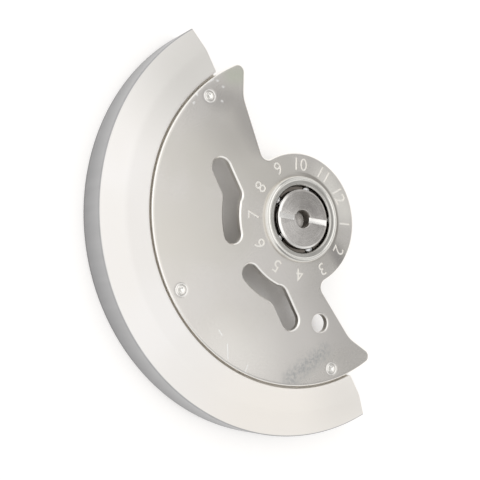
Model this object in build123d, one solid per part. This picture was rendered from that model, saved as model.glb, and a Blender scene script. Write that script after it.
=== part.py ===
"""Automatic watch rotor: a half-disc plate with a heavy rim, turning on a ball bearing.

Sizes are millimetres. The spin axis is Z, the face looks up, and the heavy rim points to -Y.
Height zero is the seat, the underside of the bearing's inner race.
"""
from build123d import *

import math
import os

# Ball bearing, from which the heights of the whole rotor follow
ball_count = 5
ball_radius = 0.32
track_radius = 1.965
first_ball_angle = -8
ball_level = 0.90
contact_angle = 45
race_clearance = 0.02
groove_clearance = 0.03

# Inner race, in two halves: the slotted core and the cone ring pressed on its shank
rim_inset = 0.125
disc_rise = 0.02
disc_chamfer_width = 0.15
disc_chamfer_height = 0.08
cone_ring_wall = 0.365
shank_recess = 0.05
tool_slot_width = 0.36
tool_slot_depth = 0.20
tool_slot_angle = 56
core_hole_radius = 0.55
core_hole_depth = 0.75
thread_shoulder = 0.25
thread_length = 1.25
thread_chamfer = 0.15

# Outer race, riveted into the plate
lip_inset = 0.125
lip_chamfer = 0.08
ring_wall = 0.19
bead_overhang = 0.195
bead_height = 0.31
bead_crest_width = 0.08
bead_slope_width = 0.14
bead_shoulder = 0.06
dish_depth = 0.04
dish_ramp = 0.04
flange_drop = 0.15
flange_thickness = 0.20
flange_width = 0.45
seat_clearance = 0.12

# Toothed ring pressed under the outer race's flange
tooth_count = 36
pinion_step = 0.12
pinion_wall = 0.19
pressure_angle = 20
tooth_width_share = 0.47
tooth_root_share = 1.25
flank_steps = 2

# Ball cage
cage_clearance = 0.03
pocket_clearance = 0.03
cage_grip = 0.15
cage_web = 0.20

# Rotor plate
plate_radius = 10.2
plate_thickness = 0.40
plate_edge_break = 0.06
hub_radius = 4.17
arm_level = -1.29
arm_tilt = 7.9
ear_width = 2.0
ear_tilt = 30
knee_round = 2.0
ear_round = 0.45
hub_root_round = 0.50

# Cut-outs in the plate
slot_leg_level = -3.66
slot_leg_width = 1.26
slot_leg_length = 1.68
slot_hub_distance = 0.235
slot_arc_width = 1.15
slot_arc_end_angle = 15.2
slot_corner_round = 0.80
sight_hole_radius = 0.57
sight_hole_x = 6.27
sight_hole_y = -1.80

# Heavy rim segment
rim_gap = 0.12
rim_flat_width = 1.43
rim_bevel_width = 1.45
rim_bevel_drop = 0.467
rim_depth = 2.60
rim_wall = 2.60
ledge_width = 1.92
ledge_thickness = 0.75
rim_end_level = -1.27
rim_edge_break = 0.05

# Rivets that hold the plate on the rim's ledge
rivet_count = 3
rivet_edge_distance = 0.75
rivet_spacing_angle = 75.3
rivet_radius = 0.26
rivet_foot_radius = 0.42
rivet_foot_height = 0.20

# How far a cutting shape runs past what it cuts
overrun = 0.5

# Heights
plate_underside = ball_level - flange_drop
plate_top = plate_underside + plate_thickness
ring_top = plate_top + bead_height
disc_top = ring_top + disc_rise
ledge_underside = plate_underside - ledge_thickness
rim_underside = plate_top - rim_depth
flange_underside = plate_underside - flange_thickness

# Radii
core_rim_radius = track_radius - rim_inset
waist_radius = track_radius - ball_radius - groove_clearance
shank_radius = waist_radius - cone_ring_wall
thread_radius = shank_radius - thread_shoulder
lip_radius = track_radius + lip_inset
groove_radius = track_radius + ball_radius + groove_clearance
neck_radius = groove_radius + ring_wall
bead_radius = neck_radius + bead_overhang
pinion_bore_radius = neck_radius + pinion_step
rim_wall_radius = plate_radius + rim_gap
rim_radius = rim_wall_radius + rim_flat_width + rim_bevel_width
rivet_circle_radius = plate_radius - rivet_edge_distance
knee_reach = plate_radius - ear_width
slot_arc_radius = hub_radius + slot_hub_distance + slot_arc_width / 2


def race_height(offset):
    """Height of a race cone above or below the ball centres, at a distance from the ball track."""
    lean = math.radians(contact_angle)
    return (ball_radius + race_clearance - offset * math.cos(lean)) / math.sin(lean)


def revolved(points):
    """A solid of revolution about the spin axis from (radius, height) points."""
    outline = Polyline(*[(radius, 0, height) for radius, height in points], close=True)
    return revolve(make_face(outline), Axis.Z)


def circle_edges(solid, radius, height):
    """The solid's circular edges of one radius at one height."""
    size = race_clearance

    def matches(edge):
        return abs(edge.radius - radius) < size and abs(edge.arc_center.Z - height) < size

    return [edge for edge in solid.edges().filter_by(GeomType.CIRCLE) if matches(edge)]


def polar(radius, angle, height):
    """Location on a circle about the spin axis."""
    turn = math.radians(angle)
    return Location((radius * math.cos(turn), radius * math.sin(turn), height))


def bearing_core():
    """Slotted core: upper half of the inner race, shank and threaded stem in one piece."""
    rim_bottom = ball_level + race_height(rim_inset)
    waist_top = ball_level + race_height(ball_radius + groove_clearance)
    core = revolved([
        (0, disc_top),
        (core_rim_radius - disc_chamfer_width, disc_top),
        (core_rim_radius, disc_top - disc_chamfer_height),
        (core_rim_radius, rim_bottom),
        (waist_radius, waist_top),
        (waist_radius, ball_level),
        (shank_radius, ball_level),
        (shank_radius, shank_recess),
        (thread_radius, shank_recess),
        (thread_radius, thread_chamfer - thread_length),
        (thread_radius - thread_chamfer, -thread_length),
        (0, -thread_length),
    ])
    hole = Location((0, 0, disc_top)) * Cylinder(
        core_hole_radius, core_hole_depth, align=(Align.CENTER, Align.CENTER, Align.MAX))
    slot = Box(2 * track_radius, tool_slot_width, tool_slot_depth + overrun,
               align=(Align.CENTER, Align.CENTER, Align.MIN))
    return core - hole - Location((0, 0, disc_top - tool_slot_depth), (0, 0, tool_slot_angle)) * slot


def lower_cone_ring():
    """Lower half of the inner race, pressed on the shank; its underside is the seat."""
    rim_top = ball_level - race_height(rim_inset)
    waist_bottom = ball_level - race_height(ball_radius + groove_clearance)
    return revolved([
        (shank_radius, ball_level),
        (waist_radius, ball_level),
        (waist_radius, waist_bottom),
        (core_rim_radius, rim_top),
        (core_rim_radius, 0),
        (shank_radius, 0),
    ])


def bearing_outer_ring():
    """Outer race with its V groove, a flange under the plate and a riveted bead above it."""
    lip_rise = race_height(lip_inset)
    groove_rise = race_height(ball_radius + groove_clearance)
    flange_radius = neck_radius + flange_width
    crest_edge = bead_radius - bead_slope_width - bead_shoulder
    dish_edge = crest_edge - bead_crest_width
    return revolved([
        (lip_radius + lip_chamfer, ring_top - dish_depth),
        (dish_edge - dish_ramp, ring_top - dish_depth),
        (dish_edge, ring_top),
        (crest_edge, ring_top),
        (crest_edge + bead_slope_width, ring_top - bead_shoulder),
        (bead_radius, plate_top),
        (neck_radius, plate_top),
        (neck_radius, plate_underside),
        (flange_radius, plate_underside),
        (flange_radius, flange_underside),
        (pinion_bore_radius, flange_underside),
        (pinion_bore_radius, seat_clearance),
        (lip_radius, seat_clearance),
        (lip_radius, ball_level - lip_rise),
        (groove_radius, ball_level - groove_rise),
        (groove_radius, ball_level + groove_rise),
        (lip_radius, ball_level + lip_rise),
        (lip_radius, ring_top - dish_depth - lip_chamfer),
    ])


def involute_angle(radius, base_radius):
    """Polar angle of an involute where it reaches a radius, from its start on the base circle."""
    if radius <= base_radius:
        return 0.0
    roll = math.sqrt((radius / base_radius) ** 2 - 1)
    return roll - math.atan(roll)


def drive_pinion():
    """Toothed ring with involute teeth that drives the winding train."""
    root_radius = pinion_bore_radius + pinion_wall
    tooth_module = root_radius / (tooth_count / 2 - tooth_root_share)
    pitch_radius = tooth_module * tooth_count / 2
    tip_radius = pitch_radius + tooth_module
    base_radius = pitch_radius * math.cos(math.radians(pressure_angle))
    pitch_turn = 2 * math.pi / tooth_count
    half_tooth = tooth_width_share * pitch_turn / 2
    points = []
    for tooth in range(tooth_count):
        middle = tooth * pitch_turn
        flank = []
        for step in range(flank_steps + 1):
            radius = root_radius + (tip_radius - root_radius) * step / flank_steps
            lean = involute_angle(pitch_radius, base_radius) - involute_angle(radius, base_radius)
            flank.append((radius, half_tooth + lean))
        rising = [(radius, middle - turn) for radius, turn in flank]
        falling = [(radius, middle + turn) for radius, turn in reversed(flank)]
        points += [(radius * math.cos(turn), radius * math.sin(turn)) for radius, turn in rising + falling]
    face = make_face(Polyline(*points, close=True)) - Circle(pinion_bore_radius)
    ring = extrude(face, flange_underside - seat_clearance)
    return Location((0, 0, seat_clearance)) * ring


def ball_cage():
    """Crown cage: a ring under the balls with a finger between each pair."""
    pocket_radius = ball_radius + pocket_clearance
    bottom = ball_level - pocket_radius - cage_web
    top = ball_level + cage_grip
    cage = revolved([
        (core_rim_radius + cage_clearance, bottom),
        (lip_radius - cage_clearance, bottom),
        (lip_radius - cage_clearance, top),
        (core_rim_radius + cage_clearance, top),
    ])
    depth = 2 * track_radius
    for index in range(ball_count):
        turn = first_ball_angle + 360 / ball_count * index
        pocket = Rot(0, 0, turn) * Location((0, 0, ball_level), (0, 90, 0)) * Cylinder(
            pocket_radius, depth, align=(Align.CENTER, Align.CENTER, Align.MIN))
        cage -= pocket
    return cage


def ball_places():
    """Where the ball centres lie."""
    turn = 360 / ball_count
    return [polar(track_radius, first_ball_angle + turn * index, ball_level) for index in range(ball_count)]


def rivet_places(height):
    """Where the rivets stand, left to right, on the plate's lower half."""
    middle = (rivet_count - 1) / 2
    angles = [(index - middle) * rivet_spacing_angle - 90 for index in range(rivet_count)]
    return [polar(rivet_circle_radius, angle, height) for angle in angles]


def line_meets_circle(x, y, rise, radius):
    """Where a line through (x, y) with a slope leaves a circle about the spin axis, on the right."""
    level = y - rise * x
    square = 1 + rise ** 2
    reach = (math.sqrt(square * radius ** 2 - level ** 2) - rise * level) / square
    return reach, level + rise * reach


def plate_outline():
    """Half disc with raised ears, a shallow upper edge and a round hub."""
    edge_rise = math.tan(math.radians(arm_tilt))
    ear_rise = math.tan(math.radians(ear_tilt))
    knee_level = arm_level + edge_rise * knee_reach
    reach = plate_radius + overrun
    ear_level = knee_level + ear_rise * (reach - knee_reach)
    above_arms = Polygon(
        (0, arm_level), (knee_reach, knee_level), (reach, ear_level), (reach, reach),
        (-reach, reach), (-reach, ear_level), (-knee_reach, knee_level), align=None)
    outline = Rot(0, 0, 90) * Circle(plate_radius) - above_arms
    outline += Rot(0, 0, -90) * Circle(hub_radius)
    root_x, root_y = line_meets_circle(0, arm_level, edge_rise, hub_radius)
    ear_x, ear_y = line_meets_circle(knee_reach, knee_level, ear_rise, plate_radius)
    corners = (
        (ear_x, ear_y, ear_round),
        (knee_reach, knee_level, knee_round),
        (root_x, root_y, hub_root_round))
    for x, y, radius in corners:
        for side in (1, -1):
            corner = outline.vertices().sort_by_distance((side * x, y))[0]
            outline = fillet(corner, radius)
    return outline


def boomerang_slots():
    """Mirror pair of slots: a straight leg that runs into an arc about the spin axis."""
    junction = -math.sqrt(slot_arc_radius ** 2 - slot_leg_level ** 2)
    leg_middle = junction - slot_leg_length / 2
    leg = Pos(leg_middle, slot_leg_level) * SlotCenterToCenter(slot_leg_length, slot_leg_width)
    start = math.degrees(math.atan2(slot_leg_level, junction))
    sweep = -90 - slot_arc_end_angle - start
    bend = SlotArc(CenterArc((0, 0), slot_arc_radius, start, sweep), slot_arc_width)
    left = leg + bend
    bend_edge = slot_arc_radius + slot_arc_width / 2
    leg_edge = slot_leg_level - slot_leg_width / 2
    inner_corner = (-math.sqrt(bend_edge ** 2 - leg_edge ** 2), leg_edge)
    left = fillet(left.vertices().sort_by_distance(inner_corner)[0], slot_corner_round)
    return left + mirror(left, Plane.YZ)


def rotor_plate():
    """Thin plate with hub hole, slots, sight hole and rivet holes."""
    outline = plate_outline() - boomerang_slots()
    outline -= Pos(sight_hole_x, sight_hole_y) * Circle(sight_hole_radius)
    blank = extrude(outline, plate_thickness)
    blank = chamfer(blank.edges().group_by(Axis.Z)[-1], plate_edge_break)
    plate = Location((0, 0, plate_underside)) * blank
    plate -= Location((0, 0, plate_underside - overrun)) * Cylinder(
        neck_radius, plate_thickness + 2 * overrun, align=(Align.CENTER, Align.CENTER, Align.MIN))
    for place in rivet_places(plate_underside):
        plate -= place * rivet_shank(plate_thickness)
    return plate


def rivet_shank(length):
    """Straight part of a rivet, upwards from its place."""
    return Cylinder(rivet_radius, length, align=(Align.CENTER, Align.CENTER, Align.MIN))


def weight_rivet(place):
    """Rivet: a foot under the ledge and a shank that ends flush with the plate's face."""
    foot = Cylinder(rivet_foot_radius, rivet_foot_height, align=(Align.CENTER, Align.CENTER, Align.MAX))
    return place * (foot + rivet_shank(plate_top - ledge_underside))


def weight_segment():
    """Heavy rim: flat and bevelled top, deep outer wall and a ledge under the plate."""
    inner_wall = rim_radius - rim_wall
    ring = revolved([
        (rim_wall_radius, plate_top),
        (rim_wall_radius + rim_flat_width, plate_top),
        (rim_radius, plate_top - rim_bevel_drop),
        (rim_radius, rim_underside),
        (inner_wall, rim_underside),
        (inner_wall, ledge_underside),
        (rim_wall_radius - ledge_width, ledge_underside),
        (rim_wall_radius - ledge_width, plate_underside),
        (rim_wall_radius, plate_underside),
    ])
    reach = rim_radius + overrun
    half = Location((0, rim_end_level, 0)) * Box(
        2 * reach, reach, 2 * reach, align=(Align.CENTER, Align.MAX, Align.CENTER))
    segment = ring & half
    for place in rivet_places(ledge_underside):
        segment -= place * rivet_shank(ledge_thickness)
    return chamfer(circle_edges(segment, rim_wall_radius, plate_top), rim_edge_break)


def main():
    """Build every piece and write one STEP file for each."""
    os.makedirs("parts", exist_ok=True)
    pieces = {
        "rotor_plate": rotor_plate(),
        "weight_segment": weight_segment(),
        "bearing_outer_ring": bearing_outer_ring(),
        "drive_pinion": drive_pinion(),
        "bearing_core": bearing_core(),
        "lower_cone_ring": lower_cone_ring(),
        "ball_cage": ball_cage(),
    }
    for number, place in enumerate(rivet_places(ledge_underside), start=1):
        pieces[f"weight_rivet_{number}"] = weight_rivet(place)
    for number, place in enumerate(ball_places(), start=1):
        pieces[f"bearing_ball_{number}"] = place * Sphere(ball_radius)
    for name, piece in pieces.items():
        export_step(piece, os.path.join("parts", name + ".step"))
        print(name, len(piece.solids()), round(piece.volume, 3))


main()
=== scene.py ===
# %% [markdown]
# An automatic watch's rotor, in Blender
#
# The rotor is the swinging weight that winds an automatic watch. A thin nickel plate carries a heavy
# rim on its lower half and turns on a small ball bearing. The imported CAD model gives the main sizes,
# and this lesson dresses it piece by piece, each with rounded edges and a metal finish.
#
# The frame comes first, because each piece is placed by the box of the CAD node that it stands for.

import math

import bmesh
import bpy
from mathutils import Matrix, Vector


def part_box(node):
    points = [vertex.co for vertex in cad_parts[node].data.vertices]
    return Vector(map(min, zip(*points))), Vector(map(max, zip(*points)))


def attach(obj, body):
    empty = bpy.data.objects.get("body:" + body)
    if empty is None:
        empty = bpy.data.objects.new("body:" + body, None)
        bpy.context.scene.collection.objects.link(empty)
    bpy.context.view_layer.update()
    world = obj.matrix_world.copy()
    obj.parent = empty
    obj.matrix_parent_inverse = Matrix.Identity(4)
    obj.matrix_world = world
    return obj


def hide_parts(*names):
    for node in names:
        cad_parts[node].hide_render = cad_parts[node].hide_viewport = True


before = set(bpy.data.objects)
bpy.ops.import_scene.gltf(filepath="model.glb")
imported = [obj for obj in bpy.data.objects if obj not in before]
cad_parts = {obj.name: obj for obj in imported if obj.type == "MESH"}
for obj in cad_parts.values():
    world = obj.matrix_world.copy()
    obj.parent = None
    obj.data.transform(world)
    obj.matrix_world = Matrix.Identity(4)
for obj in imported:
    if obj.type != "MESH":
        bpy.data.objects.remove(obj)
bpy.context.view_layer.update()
mm = 0.001

# %% [markdown]
# The camera
#
# The photograph looks down on the rotor from its heavy side, with the hub turned to the upper right.
# The place and the turn were fitted to circles and corners whose real sizes are known, so the lens
# follows from them. A long lens close to a small object gives the slight taper that the picture has.

# %% Camera
camera_place = Vector((-9.910, -32.179, 46.878)) * mm
picture_right = Vector((0.40648, 0.74407, 0.53023))
picture_up = Vector((-0.89801, 0.43232, 0.08175))
lens_length = 68.95


def placed(name, data):
    """A new object in the scene that shows some data."""
    thing = bpy.data.objects.new(name, data)
    bpy.context.scene.collection.objects.link(thing)
    return thing


def in_mm(length):
    """A length in millimetres, for the notes that the cells print."""
    return round(length / mm, 3)


camera_turn = Matrix((picture_right, picture_up, picture_right.cross(picture_up))).transposed()
camera_data = bpy.data.cameras.new("camera")
camera_data.lens = lens_length
camera_data.clip_start = 1 * mm
camera = placed("camera", camera_data)
camera.matrix_world = Matrix.Translation(camera_place) @ camera_turn.to_4x4()
bpy.context.scene.camera = camera
print("camera is", in_mm(camera_place.length), "mm from the seat")

# %% [markdown]
# Sizes from the frame
#
# Each CAD node's box gives the sizes that matter: a radius is half a width, a height is a top. The few
# sizes that no box shows, such as the slots in the plate, are written where the piece is made, as the
# real object has them.

# %% Sizes
plate_low, plate_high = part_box("rotor_plate")
rim_low, rim_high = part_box("weight_segment")
race_low, race_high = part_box("bearing_outer_ring")
core_low, core_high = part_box("bearing_core")
cone_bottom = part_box("lower_cone_ring")[0].z
pinion_low, pinion_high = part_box("drive_pinion")

plate_radius = plate_high.x
hub_radius = plate_high.y
plate_top = plate_high.z
plate_bottom = plate_low.z
rim_radius = -rim_low.y
rim_end = rim_high.y
rim_bottom = rim_low.z
floor_height = min(rim_bottom, core_low.z)
ball_centres = []
for number in range(1, 6):
    low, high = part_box(f"bearing_ball_{number}")
    ball_centres.append((low + high) / 2)
ball_radius = (high.z - low.z) / 2
ball_level = ball_centres[0].z
track_radius = ball_centres[0].xy.length
print("plate", in_mm(plate_radius), "rim", in_mm(rim_radius), "ball", in_mm(ball_radius))

# %% [markdown]
# Materials written as sums
#
# A finish is a tree of nodes. Wired by hand, a sum of three masks takes a dozen of them, so here one
# small class holds what a node gives and turns plus, minus and times into Math nodes. A second adds any
# other node from its type, its settings and its inputs. Places are read in millimetres on the piece
# itself, so a mark keeps its size and stays on the metal as the rotor turns.

# %% What a node gives
class Reading:
    """What a node gives, such as a number that varies over a surface, for use in Python sums."""

    def __init__(self, nodes, socket):
        self.nodes = nodes
        self.socket = socket

    def maths(self, operation, *others):
        """This number, and any others after it, through a Math node."""
        return self.nodes.node("ShaderNodeMath", {"operation": operation}, dict(enumerate((self, *others))))

    def __add__(self, other):
        return self.maths("ADD", other)

    def __sub__(self, other):
        return self.maths("SUBTRACT", other)

    def __mul__(self, other):
        return self.maths("MULTIPLY", other)

    def __rsub__(self, other):
        return self.nodes.node("ShaderNodeMath", {"operation": "SUBTRACT"}, {0: other, 1: self})

    __radd__ = __add__
    __rmul__ = __mul__


# %% A tree of nodes
class Nodes:
    """A node tree under construction."""

    def __init__(self, tree):
        self.tree = tree
        tree.nodes.clear()

    def node(self, kind, settings=None, inputs=None, output=0):
        """Adds a node: its settings first, then the values or links of its sockets."""
        node = self.tree.nodes.new(kind)
        for name, value in (settings or {}).items():
            setattr(node, name, value)
        for name, value in (inputs or {}).items():
            if isinstance(value, Reading):
                self.tree.links.new(value.socket, node.inputs[name])
            else:
                node.inputs[name].default_value = value
        return Reading(self, node.outputs[output]) if len(node.outputs) else None

    def join(self, x, y, z):
        """A vector from three numbers."""
        return self.node("ShaderNodeCombineXYZ", inputs={0: x, 1: y, 2: z})

    def ease(self, value, low, high, start=0.0, end=1.0):
        """A smooth change from start to end, as a value goes from low to high."""
        inputs = {"Value": value, "From Min": low, "From Max": high, "To Min": start, "To Max": end}
        return self.node("ShaderNodeMapRange", {"interpolation_type": "SMOOTHSTEP"}, inputs)


# %% A finish
class Finish(Nodes):
    """A material under construction. Its places and distances are in millimetres."""

    def __init__(self, name):
        self.material = bpy.data.materials.new(name)
        self.material.use_nodes = True
        super().__init__(self.material.node_tree)

    def place(self):
        """A point of the piece and its three coordinates."""
        metres = self.node("ShaderNodeTexCoord", output="Object")
        point = self.node("ShaderNodeVectorMath", {"operation": "SCALE"}, {0: metres, "Scale": 1 / mm})
        x, y, z = (self.node("ShaderNodeSeparateXYZ", inputs={0: point}, output=letter) for letter in "XYZ")
        return point, x, y, z

    def noise(self, vector, scale, detail=2.0, roughness=0.5):
        """Soft noise from about 0 to 1."""
        inputs = {"Vector": vector, "Scale": scale, "Detail": detail, "Roughness": roughness}
        return self.node("ShaderNodeTexNoise", inputs=inputs)

    def beyond(self, value, border, start, end):
        """0 at one distance past a border and 1 at another. Only the border is in metres."""
        return self.ease(value, border / mm + start, border / mm + end)

    def near(self, x, y, marks, reach):
        """1 on the middle of strokes, which are given by their ends, and 0 beyond their reach."""
        nearest = None
        for start, end in marks:
            run_x, run_y = end[0] - start[0], end[1] - start[1]
            squared = run_x * run_x + run_y * run_y
            from_x, from_y = x - start[0], y - start[1]
            along = from_x * (run_x / squared) + from_y * (run_y / squared)
            share = self.node("ShaderNodeClamp", inputs={"Value": along})
            away_x, away_y = from_x - share * run_x, from_y - share * run_y
            away = (away_x * away_x + away_y * away_y).maths("SQRT")
            nearest = away if nearest is None else nearest.maths("MINIMUM", away)
        return self.ease(nearest, reach, 0.0)

    def blend(self, amount, first, second):
        """One colour at 0 and another at 1."""
        first, second = ((*colour, 1) if isinstance(colour, tuple) else colour for colour in (first, second))
        return self.node("ShaderNodeMix", {"data_type": "RGBA"}, {0: amount, 6: first, 7: second}, output=2)

    def coated(self, colour, *coats):
        """A colour with others laid over it in turn, each through a mask of its own."""
        for mask, coat in coats:
            colour = self.blend(mask, colour, coat)
        return colour

    def relief(self, height, depth):
        """A bump of a real depth in metres."""
        return self.node("ShaderNodeBump", inputs={"Height": height, "Distance": depth, "Strength": 1.0})

    def surface(self, **sockets):
        """Ends the material in one shader; a name's underscores stand for spaces."""
        inputs = {name.replace("_", " "): value for name, value in sockets.items()}
        return self.show(self.node("ShaderNodeBsdfPrincipled", inputs=inputs))

    def show(self, shader):
        """Sends a shader to the material's output."""
        self.node("ShaderNodeOutputMaterial", inputs={"Surface": shader})
        return self.material


# %% [markdown]
# The floor
#
# The photograph's ground is pure white. More light on the floor would also bleach the metal, so the
# floor is a pale grey that glows a little where the sky above it is open. An Ambient Occlusion node
# measures that, and under the rotor the glow fades, which leaves a soft shadow there.

# %% Floor
floor_size = 3.0
floor_colour = (0.62, 0.60, 0.58, 1)
floor_glow = 0.54
shade_reach = 7 * mm
shade_dark, shade_open = 0.26, 0.54

half = floor_size / 2
floor_sides = ((-half, -half), (half, -half), (half, half), (-half, half))
floor_mesh = bpy.data.meshes.new("floor")
floor_mesh.from_pydata([(x, y, floor_height) for x, y in floor_sides], [], [(0, 1, 2, 3)])
floor = placed("floor", floor_mesh)

white_floor = Finish("white_floor")
openness = white_floor.node(
    "ShaderNodeAmbientOcclusion", {"samples": 8}, {"Distance": shade_reach}, output="AO")
glow = white_floor.ease(openness, shade_dark, shade_open) * floor_glow
diffuse = white_floor.node("ShaderNodeBsdfDiffuse", inputs={"Color": floor_colour})
emission = white_floor.node("ShaderNodeEmission", inputs={"Color": (1, 1, 1, 1), "Strength": glow})
both = white_floor.node("ShaderNodeAddShader", inputs={0: diffuse, 1: emission})
floor_mesh.materials.append(white_floor.show(both))
print("floor at", in_mm(floor_height), "mm")

# %% [markdown]
# Lamps and world
#
# A watch part is photographed in a light tent: one big soft lamp above and to the left, a pale room all
# round, and a darker ceiling. Bare metal has hardly any shade of its own and shows what it mirrors, so
# the world is drawn as that room and not left one even grey.

# %% Lamps and world
lamp_height = 0.60
lamp_near, lamp_far = -0.90, 0.35
lamp_left, lamp_right = -1.04, 0.26
lamp_radiance = 0.64
room_light, ceiling_light = 1.19, 0.60
room_top, ceiling_start = 0.30, 0.75

lamp_data = bpy.data.lights.new("softbox", "AREA")
lamp_data.shape = "RECTANGLE"
lamp_data.size = lamp_right - lamp_left
lamp_data.size_y = lamp_far - lamp_near
lamp_data.energy = lamp_radiance * math.pi * lamp_data.size * lamp_data.size_y
lamp = placed("softbox", lamp_data)
lamp.location = ((lamp_left + lamp_right) / 2, (lamp_near + lamp_far) / 2, lamp_height)

world = bpy.data.worlds.new("light_tent")
world.use_nodes = True
bpy.context.scene.world = world
tent = Nodes(world.node_tree)
direction = tent.node("ShaderNodeTexCoord", output="Generated")
upward = tent.node("ShaderNodeSeparateXYZ", inputs={0: direction}, output="Z")
strength = tent.ease(upward, room_top, ceiling_start, room_light, ceiling_light)
sky = tent.node("ShaderNodeBackground", inputs={"Strength": strength})
tent.node("ShaderNodeOutputWorld", inputs={"Surface": sky})

bpy.context.scene.view_settings.view_transform = "Standard"
print("softbox", round(lamp_data.energy, 2), "W")

# %% [markdown]
# Turned pieces
#
# The bearing's rings are turned on a lathe, so each one is a section swept round the spin axis. A real
# edge is never perfectly sharp: a corner is broken by a few hundredths of a millimetre and catches the
# light as a thin line. A Bevel modifier rounds every corner alike, so the section's corners are rounded
# before it is swept, each by its own radius. A spare point beside each corner holds the flat faces flat
# under smooth shading.

# %% Rounded corners
straight_bend = math.radians(3)
side_share = 0.45
hold = 0.5


def softened(section, rounding, steps=3):
    """A closed section of (across, up) points with its corners rounded; a third value sets a point's own."""
    rounded = []
    for index, here in enumerate(section):
        before = Vector(section[index - 1][:2])
        after = Vector(section[(index + 1) % len(section)][:2])
        corner = Vector(here[:2])
        radius = here[2] if len(here) > 2 else rounding
        arriving, leaving = corner - before, after - corner
        bend = arriving.angle_signed(leaving)
        if radius == 0 or abs(bend) < straight_bend:
            rounded.append(corner)
            continue
        shorter = min(arriving.length, leaving.length)
        cut = min(radius * math.tan(abs(bend) / 2), side_share * shorter)
        start = corner - arriving.normalized() * cut
        end = corner + leaving.normalized() * cut
        if cut * (1 + hold) < arriving.length / 2:
            rounded.append(start.lerp(corner, -hold))
        for step in range(steps + 1):
            share = step / steps
            rounded.append(start.lerp(corner, share).lerp(corner.lerp(end, share), share))
        if cut * (1 + hold) < leaving.length / 2:
            rounded.append(end.lerp(corner, -hold))
    return rounded


# %% Skins
ring_steps = 144
weld_distance = 1e-7


def at_angle(across, angle, up):
    """A point at a distance from the spin axis, an angle round it and a height."""
    return (across * math.cos(angle), across * math.sin(angle), up)


def swept(section, steps=ring_steps):
    """The loops of a section turned once round the spin axis."""
    angles = [2 * math.pi * step / steps for step in range(steps)]
    return [[at_angle(across, angle, up) for across, up in section] for angle in angles]


def skin(name, loops, around=False, capped=False):
    """A piece whose skin joins loops of points, one after another, and closes round if asked."""
    count = len(loops[0])
    points = [point for loop in loops for point in loop]
    faces = []
    for index in range(len(loops) if around else len(loops) - 1):
        first, second = index * count, (index + 1) % len(loops) * count
        for step in range(count):
            after = (step + 1) % count
            faces.append((first + step, first + after, second + after, second + step))
    if capped:
        faces.append(tuple(range(count)))
        faces.append(tuple(range(len(points) - count, len(points))))
    mesh = bpy.data.meshes.new(name)
    mesh.from_pydata(points, [], faces)
    shape = bmesh.new()
    shape.from_mesh(mesh)
    bmesh.ops.remove_doubles(shape, verts=shape.verts, dist=weld_distance)
    bmesh.ops.dissolve_degenerate(shape, dist=weld_distance, edges=shape.edges)
    loose = [edge for edge in shape.edges if not edge.link_faces]
    bmesh.ops.delete(shape, geom=loose, context="EDGES")
    bmesh.ops.recalc_face_normals(shape, faces=shape.faces)
    shape.to_mesh(mesh)
    shape.free()
    return placed(name, mesh)


# %% Finished pieces
smooth_angle = math.radians(35)


def plain_mesh(piece):
    """The mesh that a piece shows once its modifiers have worked."""
    graph = bpy.context.evaluated_depsgraph_get()
    return bpy.data.meshes.new_from_object(piece.evaluated_get(graph))


def plain(piece):
    """The piece with its modifiers worked into a plain mesh."""
    mesh = plain_mesh(piece)
    piece.modifiers.clear()
    piece.data = mesh
    return piece


def finished(piece, body, slot, material, *nodes):
    """Shades a piece smoothly, gives it its metal and puts it in the place of its CAD nodes."""
    plain(piece)
    piece.data.shade_smooth()
    piece.data.set_sharp_from_angle(angle=smooth_angle)
    piece.data.materials.clear()
    piece.data.materials.append(material)
    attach(piece, body)
    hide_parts(*nodes)
    print(piece.name, len(piece.data.polygons), "faces")


# %% [markdown]
# Turned steel
#
# Bare metal has one shader with full metallic, and differs in colour, in roughness and in the marks that
# its making left. Turning leaves fine rings. A picture of them would have to be unwrapped onto each piece,
# so they are noise over the distance from the axis alone. Each mark is small: half a micron of bump and a
# little change of roughness, which is what the eye reads as metal. The outer race also has a painted
# highlight: a brighter colour on its crest and on the outer part of its slope.

# %% Turned steel
turning_pitch = 26.0
turning_depth = 0.0006 * mm
highlight_slope_radius = 2.60 * mm


def turned_metal(name, colour, shade, roughness, depth=turning_depth, crest=None):
    """Metal with fine rings about the spin axis and slight clouds, and a painted highlight on a crest and
    slope.
    """
    finish = Finish(name)
    point, x, y, z = finish.place()
    radius = (x * x + y * y).maths("SQRT")
    angle = y.maths("ARCTAN2", x)
    rings = finish.noise(finish.join(radius * turning_pitch, angle * 0.6, z * turning_pitch), 1.0, 3.0)
    clouds = finish.noise(point, 0.9, 2.0)
    metal = finish.blend(finish.ease(rings * 0.35 + clouds * 0.65, 0.3, 0.7), shade, colour)
    if crest is not None:
        # Painted highlight: the crest and the outer slope are given a brighter colour.
        crest_highlight = finish.beyond(z, crest, -0.03, -0.01)
        slope_highlight = finish.beyond(radius, highlight_slope_radius, -0.03, 0.03)
        metal = finish.blend(crest_highlight.maths("MAXIMUM", slope_highlight * 0.6), metal, (0.98, 0.96, 0.91))
    return finish.surface(
        Metallic=1.0,
        Base_Color=metal,
        Roughness=roughness + (rings - 0.5) * 0.16 + (clouds - 0.5) * 0.06,
        Normal=finish.relief(rings, depth),
    )


race_steel = turned_metal("race_steel", (0.64, 0.625, 0.59), (0.54, 0.525, 0.49), 0.20, crest=race_high.z)
pinion_steel = turned_metal("pinion_steel", (0.70, 0.66, 0.58), (0.60, 0.56, 0.49), 0.32)
cage_dark = turned_metal("cage_dark", (0.28, 0.25, 0.22), (0.20, 0.18, 0.16), 0.45)
ball_steel = turned_metal("ball_steel", (0.62, 0.62, 0.62), (0.58, 0.58, 0.58), 0.07, depth=0.0)
rivet_steel = turned_metal("rivet_steel", (0.96, 0.94, 0.90), (0.92, 0.90, 0.86), 0.18)
print("race steel has", len(race_steel.node_tree.nodes), "nodes")

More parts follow.
